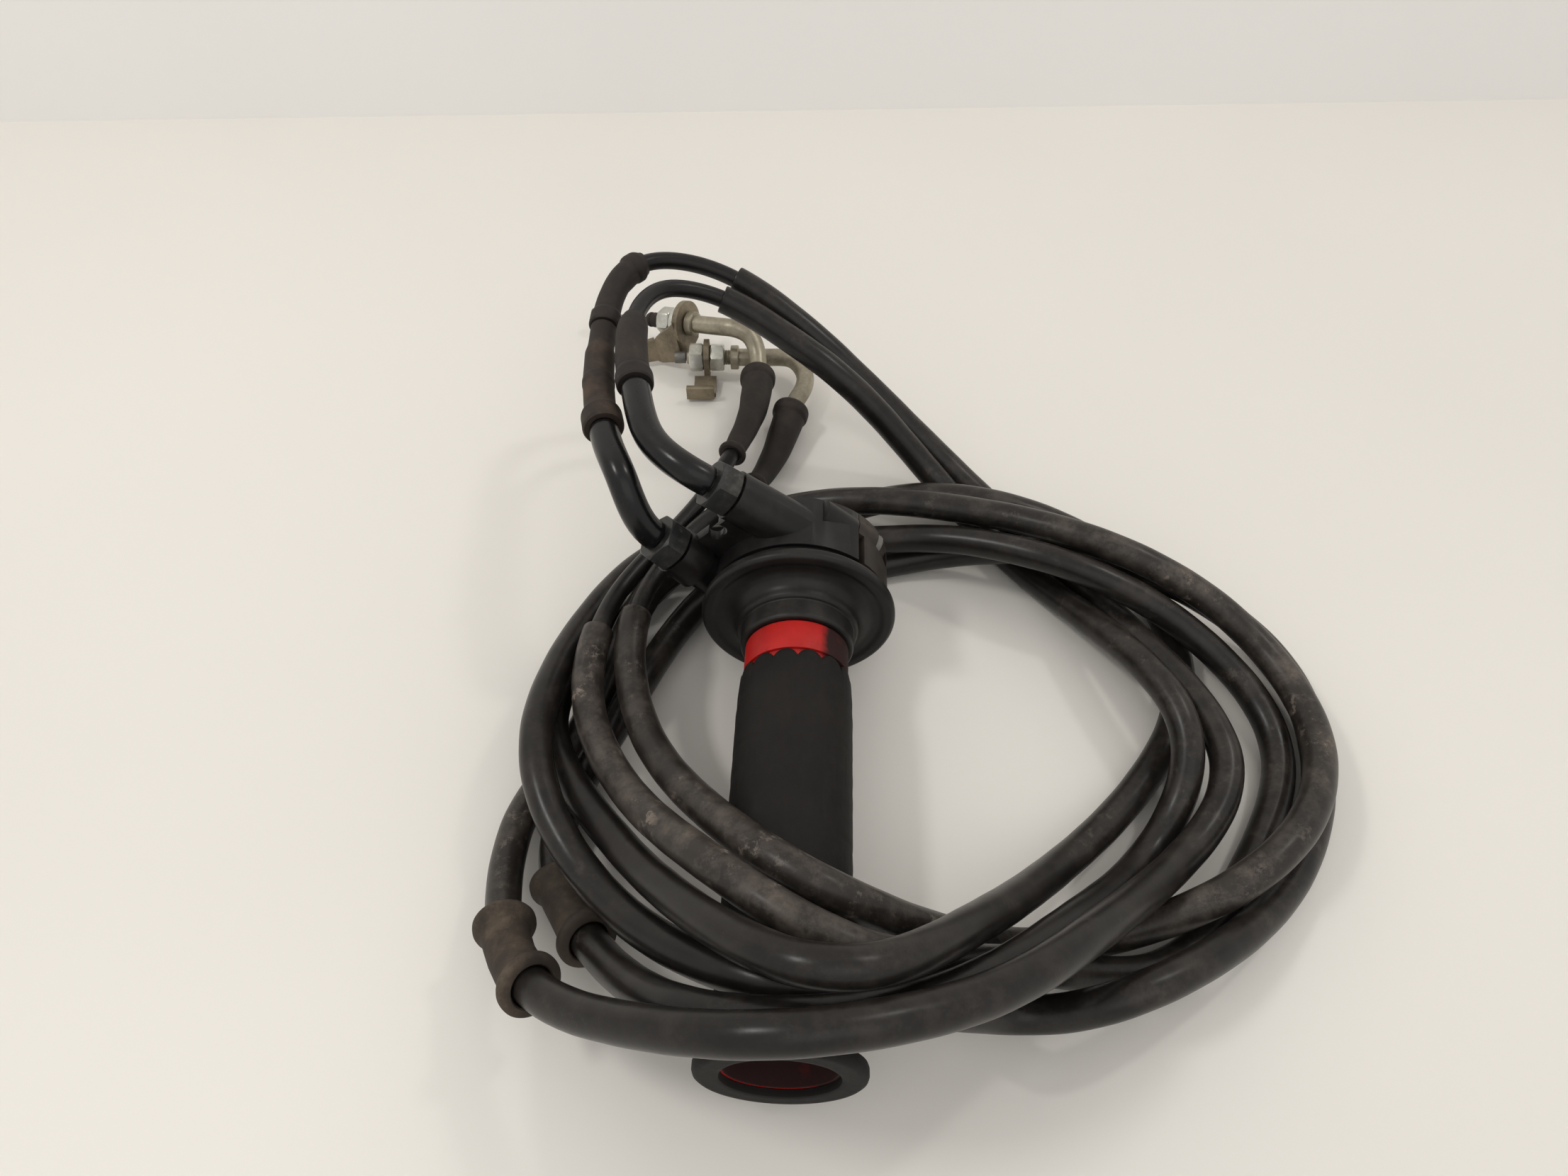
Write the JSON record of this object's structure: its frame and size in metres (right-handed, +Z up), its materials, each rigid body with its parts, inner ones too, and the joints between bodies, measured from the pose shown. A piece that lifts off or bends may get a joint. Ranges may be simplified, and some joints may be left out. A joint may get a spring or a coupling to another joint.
{
  "type": "throttle grip",
  "caption": "Motorcycle twist throttle grip with reel housing and long coiled pull and return cables in protective sleeves.",
  "frame": {"origin": "on the grip axis in the middle of the clamp bore of the housing, 20.2 mm inboard of the grip flange", "axes": "+Y inboard along the handlebar, grip points to -Y, +Z up from the table the part lies on, +X right"},
  "size_m": [0.2486, 0.3114, 0.0779],
  "materials": {
    "rubber_grip": "matte",
    "red_plastic": "satin",
    "black_plastic": "satin",
    "dusty_plastic": "matte",
    "black_coating": "gloss",
    "sleeve": "satin",
    "boot_rubber": "matte",
    "zinc": "worn zinc",
    "steel": "plain",
    "bracket": "worn zinc"
  },
  "bodies": {
    "cable_assembly": {"housing_front": "black_plastic", "housing_rear": "dusty_plastic", "housing_screws": "steel", "pull_guide_pipe": "steel", "return_guide_pipe": "steel", "pull_pipe_cover": "black_coating", "return_pipe_cover": "black_coating", "pull_adjuster_barrel": "steel", "pull_adjuster_lock_nut": "steel", "pull_adjuster_boot_lower": "boot_rubber", "pull_adjuster_boot_upper": "boot_rubber", "return_joint_ferrule": "steel", "return_joint_boot": "boot_rubber", "pull_casing": "sleeve", "return_casing": "sleeve", "pull_sleeve_1": "sleeve", "pull_sleeve_2": "sleeve", "return_sleeve_1": "sleeve", "return_sleeve_2": "sleeve", "return_sleeve_3": "sleeve", "pull_inline_boot": "boot_rubber", "return_inline_boot": "boot_rubber", "pull_inline_ferrule": "steel", "return_inline_ferrule": "steel", "pull_end_boot": "boot_rubber", "return_end_boot": "boot_rubber", "pull_end_pipe": "zinc", "return_end_pipe": "zinc", "pull_lock_washer": "zinc", "pull_end_seal": "boot_rubber", "pull_bracket_plate": "bracket", "return_hook_plate": "bracket", "pull_inner_wire": "steel", "return_inner_wire": "steel"},
    "throttle": {"throttle_tube": "red_plastic", "grip_rubber": "rubber_grip", "grip_flange": "black_plastic", "pull_drum_wire": "steel", "return_drum_wire": "steel"},
    "pull_nut": {"pull_union_nut": "black_coating"},
    "return_nut": {"return_union_nut": "black_coating"},
    "pull_wire_end": {"pull_end_wire": "steel"},
    "return_wire_end": {"return_end_wire": "steel"},
    "pull_bracket_nut": {"pull_lock_nut": "zinc"},
    "return_inner_nut": {"return_lock_nut_inner": "zinc"},
    "return_outer_nut": {"return_lock_nut_outer": "zinc"}
  },
  "joints": [
    {"name": "throttle_twist", "type": "hinge", "parent": "cable_assembly", "child": "throttle", "pos_m": [0, 0, 0], "axis": [0, -1, 0], "range_deg": [0, 80]},
    {"name": "pull_wire_slide", "type": "slide", "parent": "cable_assembly", "child": "pull_wire_end", "axis": [-0.8937, 0.3959, -0.2109], "range_m": [-0.02244, 0]},
    {"name": "return_wire_slide", "type": "slide", "parent": "cable_assembly", "child": "return_wire_end", "axis": [-0.9992, -0.0389, 0], "range_m": [0, 0.02244]},
    {"name": "pull_union_nut_turn", "type": "hinge", "parent": "cable_assembly", "child": "pull_nut", "pos_m": [-0.039, -0.0122, 0.0195], "axis": [-0.6679, 0, 0.7442], "continuous": true},
    {"name": "return_union_nut_turn", "type": "hinge", "parent": "cable_assembly", "child": "return_nut", "pos_m": [-0.0222, -0.0072, 0.0367], "axis": [-0.7994, 0, 0.6008], "continuous": true},
    {"name": "pull_lock_nut_turn", "type": "hinge", "parent": "cable_assembly", "child": "pull_bracket_nut", "pos_m": [-0.05575, 0.13533, -0.01231], "axis": [-0.8937, 0.3959, -0.2109], "continuous": true},
    {"name": "return_inner_nut_turn", "type": "hinge", "parent": "cable_assembly", "child": "return_inner_nut", "pos_m": [-0.03601, 0.1219, -0.019], "axis": [-0.9992, -0.0389, 0], "continuous": true},
    {"name": "return_outer_nut_turn", "type": "hinge", "parent": "cable_assembly", "child": "return_outer_nut", "pos_m": [-0.044, 0.12159, -0.019], "axis": [-0.9992, -0.0389, 0], "continuous": true}
  ],
  "couplings": [
    {"joint": "pull_wire_slide", "follows": "throttle_twist", "m_per_rad": -0.016},
    {"joint": "return_wire_slide", "follows": "throttle_twist", "m_per_rad": 0.016}
  ]
}
